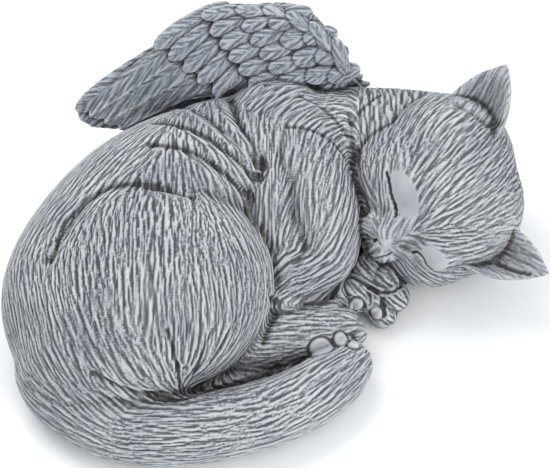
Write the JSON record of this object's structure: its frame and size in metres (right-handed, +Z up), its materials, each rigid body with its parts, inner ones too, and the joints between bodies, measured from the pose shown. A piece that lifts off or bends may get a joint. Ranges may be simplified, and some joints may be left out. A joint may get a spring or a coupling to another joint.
{
  "type": "kitten angel garden statue",
  "caption": "Sleeping kitten with folded angel wings, curled up with its head on its paws; a cast garden or memorial statue that lies flat on the ground.",
  "frame": {"origin": "middle of the flat underside, on the ground", "axes": "+X from the curled rump toward the head, +Y from the paws and tail toward the wings, +Z up"},
  "size_m": [0.2491, 0.2046, 0.0998],
  "materials": {
    "cast_stone": "matt blue-grey cast stone, dark wash in the carving and pale dry-brushed ridges"
  },
  "bodies": {
    "root": {"kitten_angel": "cast_stone"}
  },
  "joints": []
}
